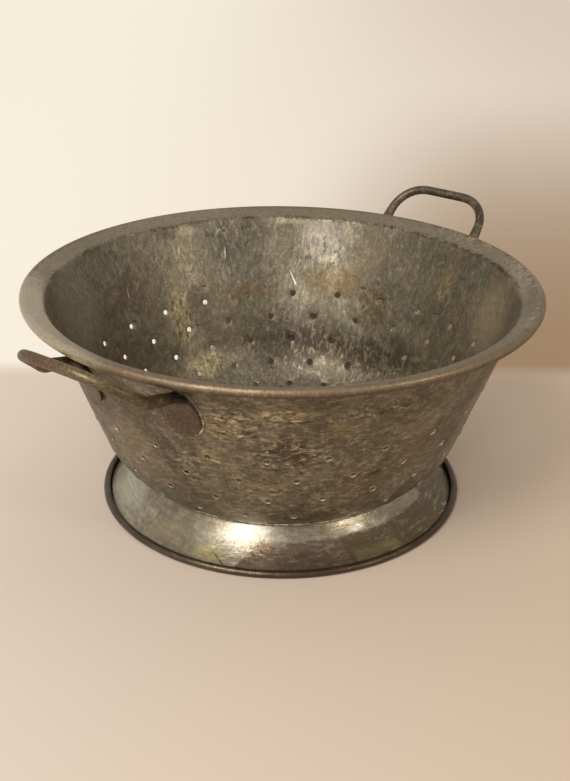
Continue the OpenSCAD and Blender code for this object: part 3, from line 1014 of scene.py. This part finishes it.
@dataclass
class Foot:
    """The flared hoop under the bowl, with its rolled edge."""

    bowl: Bowl
    sheet: float = 0.8
    wire_d: float = 2.6
    wire_gap: float = 0.3
    wrap: float = 262.0
    flare_r: float = 55.0
    flare_slope: float = 22.0
    flange_l: float = 7.0
    fold_r: float = 1.6
    wear: float = 0.2
    joint_gap: float = 0.1
    columns: int = 256
    foot_r: float = field(default_factory=lambda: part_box("foot_ring")[1][0] / MM)

    def __post_init__(self) -> None:
        """Works out the section from the driving sizes."""
        curl_r = self.wire_d / 2 + self.wire_gap
        roll_r = curl_r + self.sheet
        slope = math.radians(90 - self.flare_slope)
        roll = Vector((self.foot_r - roll_r, roll_r - self.wear))
        flare = roll + (self.flare_r - curl_r) * Vector((math.cos(slope), math.sin(slope)))
        self.flare = flare
        bend_up = self.bowl.lift + self.bowl.bottom_bend
        bend = Vector((self.bowl.line.stretches[0].length, bend_up))
        self.bend = bend
        seat_r = self.bowl.bottom_bend + self.joint_gap
        self.seat_r = seat_r
        fold = self._crossing(seat_r + self.fold_r, self.flare_r + self.fold_r)
        self.fold = fold
        seat_turn = math.degrees(math.atan2(fold.y - bend.y, fold.x - bend.x))
        flare_top = math.degrees(math.atan2(fold.y - flare.y, fold.x - flare.x)) + 360
        flange_turn = math.degrees(self.flange_l / seat_r)
        begin = math.radians(seat_turn - flange_turn)
        half = self.sheet / 2
        start = bend + (seat_r + half) * Vector((math.cos(begin), math.sin(begin)))
        self.line = SheetLine(tuple(start), 90 + seat_turn - flange_turn, (
            Stretch.bend(seat_r + half, flange_turn),
            Stretch.bend(-(self.fold_r - half), seat_turn - flare_top + 360),
            Stretch.bend(self.flare_r + half, 270 - self.flare_slope - flare_top),
            Stretch.bend(curl_r + half, self.wrap),
        ))

    def _crossing(self, r_bend: float, r_flare: float) -> Vector:
        """Finds where circles about the bowl's bend and about the flare cross on the foot's side."""
        v = self.flare - self.bend
        d = v.length
        angle = math.atan2(v.y, v.x) - math.acos((d * d + r_bend ** 2 - r_flare ** 2) / (2 * d * r_bend))
        return self.bend + r_bend * Vector((math.cos(angle), math.sin(angle)))

    def swell(self, point: Vector, along: float) -> float:
        """How far the hand-rolled hoop is off its true form."""
        roll_start = self.line.length - self.line.stretches[-1].length
        return noise.noise(point / 40) * 0.12 * ease(along, 4, 14) * (1 - ease(along, roll_start - 8, roll_start))

    def roll_bands(self) -> tuple[Band, ...]:
        """Gives the strips of the rolled edge: brown wear on the roll, and black painted shade in its groove and at
        its end.
        """
        roll_start = self.line.length - self.line.stretches[-1].length
        return (
            Band(roll_start + 0.5, self.line.length + 2, "#45382b", 0.85, 1.5, 1),
            # Painted shade: black at the roll's tucked-in end and in the groove behind the roll.
            Band(self.line.length - 0.9, self.line.length + 2, "#241c14", 0.9, 0.8, 0.5),
            Band(roll_start - 2.4, roll_start - 0.4, "#241c14", 0.9, 1.0, 0.8),
        )

    def build(self) -> None:
        """Makes the foot, with its roll worn flat where it stands."""
        tin = AgedTin("worn_foot_tin", "#a09a88", "#888272", "#8d7e67", "#b3ab97", "#c8c0ac", 0.75, (0.23, 0.37),
                      (0.1, 0.1, 1.2), 0.1, FOOT_STAINS_AND_HIGHLIGHTS, self.roll_bands(), FOOT_ZONES).make()
        lengths = [stretch.length for stretch in self.line.stretches]
        counts = (4, 5, 18, 20)
        ends = [sum(lengths[:i + 1]) for i in range(len(lengths))]
        blank = Blank(self.line, spread(zip(ends, counts), 0.0), self.columns)
        hoop = blank.make(lambda turn, along: 0.0, self.swell)
        for vert in hoop.verts:
            vert.co.z = max(vert.co.z, self.sheet / 2 * MM)
        piece = finished("rolled_foot", hoop, (tin, tin, tin))
        give_thickness(piece, self.sheet)
        seat(piece, "foot_ring")


FOOT_STAINS_AND_HIGHLIGHTS = (
    Spot(145, 104, 9, 34, 10, "#bdbda9", 0.8),
    Spot(176, 106, 8, 16, 6, "#a08f76", 0.7),
    Spot(-165, 110, 5, 14, 5, "#bcb083", 0.8),
    # The next three spots are painted highlights on the flare and along the roll's inner edge.
    Spot(-150, 94, 19, 18, 4, "#cfcabd", 0.6),
    Spot(-112, 97, 15, 8, 2.5, "#e6e0d0", 0.7),
    Spot(-152, 113, 3.3, 12, 0.7, "#d8d0bd", 0.8, 0.5, 0, 0.6),
    Spot(-161, 112, 4, 0.4, 6, "#3a3022", 0.8, 0.5, 68, 0.5),
)

FOOT_ZONES = (
    # The first three zones are painted reflections of the darker room: dark zones low and to the right on the flare.
    Zone(-134.5, 106, 5, 35, 7.8, "#716050", 0.95, -1.2, 1.6),
    Zone(-82, 106, 5, 68, 7.6, "#63563f", 0.95, 0.3, 1.6),
    Zone(-50, 106, 14, 46, 14, "#63563f", 0.95, 0.8, 2.0),
    Zone(-90, 98, 19, 24, 5, "#8f866c", 0.6, 0.8, 2.0),
    Zone(-108, 110, 4, 17, 1.8, "#8f835f", 0.6, 0.5, 3.0),
)


@dataclass
class Handle:
    """One bent rod with its ends forged flat, taken from the solid and made smooth.

    Attributes:
        node: The solid's node.
        fill: How much the hammer has thickened the rod on each side at its knees, in millimetres.
        knee: Distances out over which the thickening comes and over which it goes.
    """

    node: str
    fill: float = 0.9
    knee: tuple[float, float, float, float] = (154.0, 162.0, 172.0, 184.0)

    def build(self, iron: ForgedIron) -> None:
        """Makes the handle from its solid, with rounder sections and a hand-forged surface."""
        bm = bmesh.new()
        bm.from_mesh(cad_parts[self.node].data)
        bmesh.ops.remove_doubles(bm, verts=bm.verts, dist=1e-6)
        bmesh.ops.join_triangles(bm, faces=bm.faces, angle_face_threshold=math.radians(40),
                                 angle_shape_threshold=math.radians(60))
        bm.normal_update()
        for vert in bm.verts:
            out = vert.co.xy.length / MM
            share = ease(out, self.knee[0], self.knee[1]) * (1 - ease(out, self.knee[2], self.knee[3]))
            vert.co += vert.normal * (self.fill * share * MM)
        piece = finished("rod_" + self.node, bm, (iron.make(),))
        smooth = piece.modifiers.new("smooth", "SUBSURF")
        smooth.levels = smooth.render_levels = 2
        seat(piece, self.node)


LEFT_ROD_STAINS_AND_SHADOW = (
    Spot(-174, 193, 152, 20, 20, "#75694d", 0.7, 0.6),
    Spot(180, 200, 155, 14, 14, "#6b5340", 0.8, 0.6, deep=14),
    Spot(-163, 150, 110, 26, 17, "#5b4b3a", 0.85, 0.3, 0, 0.3),
    Spot(167, 150, 112, 26, 16, "#655841", 0.9, 0.3, 0, 0.3),
    # Partly a painted shadow of the rim roll on the rod's end under it, partly dark patina.
    Spot(-163, 152, 131, 14, 6.5, "#261e1b", 0.95, 0.6, 0, 0.8, 11),
)

LEFT_SOLDER_STAINS = (
    Spot(-168, 145, 112, 13, 26, "#6b5e4c", 0.95, 0.2, 0, 0.6),
    Spot(168, 145, 112, 30, 30, "#6b5e4c", 0.95, 0.1, 0, 0.0),
)


@dataclass
class Studio:
    """A plain floor, soft light and the camera, set by the photograph's own view.

    Attributes:
        azimuth: Direction of the camera round the object, in degrees.
        distance: Distance of the camera from the axis.
        height: Height of the camera above the floor.
        pitch: How far the camera looks down, in degrees.
        yaw: How far it looks to the right, in degrees.
        roll: How far it is tilted, in degrees.
        focal: Focal length in pixels of the frame.
        frame_size: Width and height of the frame in pixels.
    """

    azimuth: float = -141.2
    distance: float = 690.0
    height: float = 397.5
    pitch: float = 25.55
    yaw: float = 0.18
    roll: float = 0.68
    focal: float = 1146.0
    frame_size: tuple[int, int] = (570, 781)

    def aim(self) -> Matrix:
        """Gives the camera's place and turn."""
        turn = Matrix.Rotation(math.radians(self.azimuth + 90), 4, "Z")
        pitch, yaw, roll = (math.radians(v) for v in (self.pitch, self.yaw, self.roll))
        ahead = Vector((math.sin(yaw) * math.cos(pitch), math.cos(yaw) * math.cos(pitch), -math.sin(pitch)))
        right = ahead.cross(Vector((0, 0, 1))).normalized()
        up = right.cross(ahead)
        right, up = right * math.cos(roll) + up * math.sin(roll), up * math.cos(roll) - right * math.sin(roll)
        axes = Matrix((right, up, -ahead)).transposed().to_4x4()
        return turn @ Matrix.Translation(Vector((0, -self.distance, self.height)) * MM) @ axes

    def camera(self) -> None:
        """Makes the camera."""
        data = bpy.data.cameras.new("camera")
        data.sensor_fit = "AUTO"
        data.sensor_width = 36
        data.lens = self.focal * data.sensor_width / max(self.frame_size)
        data.clip_start, data.clip_end = 0.01, 50
        camera = bpy.data.objects.new("camera", data)
        camera.matrix_world = self.aim()
        bpy.context.scene.collection.objects.link(camera)
        bpy.context.scene.camera = camera

    def lamp(self, name: str, side: float, rise: float, far: float, size: float, power: float, colour: str) -> None:
        """Hangs a soft square lamp that faces the object.

        Args:
            name: Name of the lamp.
            side: Its direction, in degrees to the right of the camera.
            rise: Its height angle in degrees.
            far: Its distance in metres.
            size: Its width in metres.
            power: Its power in watts.
            colour: Its colour.
        """
        data = bpy.data.lights.new(name, "AREA")
        data.size, data.energy, data.color = size, power, srgb(colour)[:3]
        lamp = bpy.data.objects.new(name, data)
        turn, lift = math.radians(self.azimuth + side), math.radians(rise)
        back = Vector((math.cos(turn) * math.cos(lift), math.sin(turn) * math.cos(lift), math.sin(lift)))
        lamp.matrix_world = Matrix.Translation(back * far) @ back.to_track_quat("Z", "Y").to_matrix().to_4x4()
        bpy.context.scene.collection.objects.link(lamp)

    def world(self) -> None:
        """Sets an even light all round."""
        world = bpy.data.worlds.new("studio")
        world.use_nodes = True
        ground = world.node_tree.nodes["Background"]
        ground.inputs["Color"].default_value = srgb("#fbf3e8")
        ground.inputs["Strength"].default_value = 0.58
        bpy.context.scene.world = world

    def floor(self) -> None:
        """Lays the floor: a tan table near the camera, and the paler tone of a wall from close behind the object.

        Shade is painted into its colour: table and wall grow darker to the right, away from the lamps on the
        left, a painted shadow of the bowl lies on the wall at the right, and close behind the object painted
        shade is dark, as in the narrow shade between a bowl and a wall. The table also grows darker towards
        the camera.
        """
        bm = bmesh.new()
        bmesh.ops.create_grid(bm, x_segments=1, y_segments=1, size=6)
        r = Recipe("pale_floor")
        turned = r.add("ShaderNodeMapping", Vector=r.place, Rotation=(0, 0, -math.radians(self.azimuth + 90)))
        split = r.add("ShaderNodeSeparateXYZ", Vector=turned.outputs["Vector"])
        across, away = split.outputs["X"], split.outputs["Y"]
        # Painted shade: the table and the wall are darker to the right, away from the lamps on the left.
        near = r.mix(r.ramp(across, -0.3, 0.3), "#e6d8cc", "#d8c3ae")
        near = r.shade(near, r.ramp(away, -0.12, 0.08, 0.87, 1.0))
        far = r.mix(r.ramp(across, -0.45, 0.7), "#fcf4e2", "#e2d0bf")
        # Painted shadow of the bowl on the wall at the right.
        aside = r.maths("SUBTRACT", across, r.maths("MULTIPLY", away, 0.18))
        side_shade = r.maths("MULTIPLY", r.ramp(aside, -0.15, 0.14), r.ramp(away, 1.5, 0.2, 0.0, 0.95))
        far = r.mix(side_shade, far, "#9e8063")
        wall = r.ramp(away, 0.16, 0.2)
        colour = r.mix(wall, near, far)
        # Painted shade close behind the bowl, seen through the holes of its back: a dark patch, with a paler one to
        # its right.
        for shade in (Spot(self.azimuth + 161, 290, 0, 100, 50, "#87725a", 1.0, 0.45, deep=200),
                      Spot(self.azimuth + 177.5, 270, 0, 105, 50, "#483a2f", 1.0, 0.45, deep=200)):
            colour = r.mix(r.patch(shade, 0.5), colour, shade.colour)
        rough = r.ramp(r.grain(200, 2), 0, 1, 0.75, 0.85)
        normal = r.bump(r.grain(400, 1), 0.01, 0.1)
        r.glow(r.ramp(away, 0.16, 0.2, 0.0, 0.85), colour)
        finished("floor", bm, (r.finish(colour, 0.0, rough, normal),))

    def build(self) -> None:
        """Sets up the whole studio."""
        bpy.context.scene.view_settings.view_transform = "Standard"
        self.camera()
        self.world()
        self.floor()
        self.lamp("key", -34, 46, 2.0, 0.8, 21.5, "#fffaf2")
        self.lamp("window", -18, 25, 2.2, 0.45, 7, "#fffcf8")
        self.lamp("far_window", 55, 30, 2.2, 0.35, 6.5, "#fff2e2")
        LOG.info("studio is set")


def main() -> None:
    """Builds the object and its studio."""
    logging.basicConfig(level=logging.INFO, format="%(message)s")
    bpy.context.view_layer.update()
    bowl = Bowl()
    bowl.build()
    Foot(bowl).build()
    Handle("right_handle").build(ForgedIron("grey_iron_rod", "#5f5343", "#463b2f", "#877c69"))
    Handle("left_handle").build(ForgedIron("brown_iron_rod", "#62553f", "#54432f", "#8a7b5e", LEFT_ROD_STAINS_AND_SHADOW))
    wire = ForgedIron("rim_iron_wire", "#5a4938", "#43362a", "#75644e").make()
    solder = SoftSolder("soft_solder", "#cfc7b6", "#8d8371").make()
    dark_solder = SoftSolder("darkened_solder", "#cfc7b6", "#8d8371", LEFT_SOLDER_STAINS).make()
    coats = {"rim_wire": wire, "foot_wire": wire, "foot_solder": solder, "right_handle_solder": solder,
             "left_handle_solder": dark_solder}
    for node, coat in coats.items():
        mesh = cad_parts[node].data
        mesh.materials.clear()
        mesh.materials.append(coat)
    Studio().build()


if __name__ == "__main__":
    main()
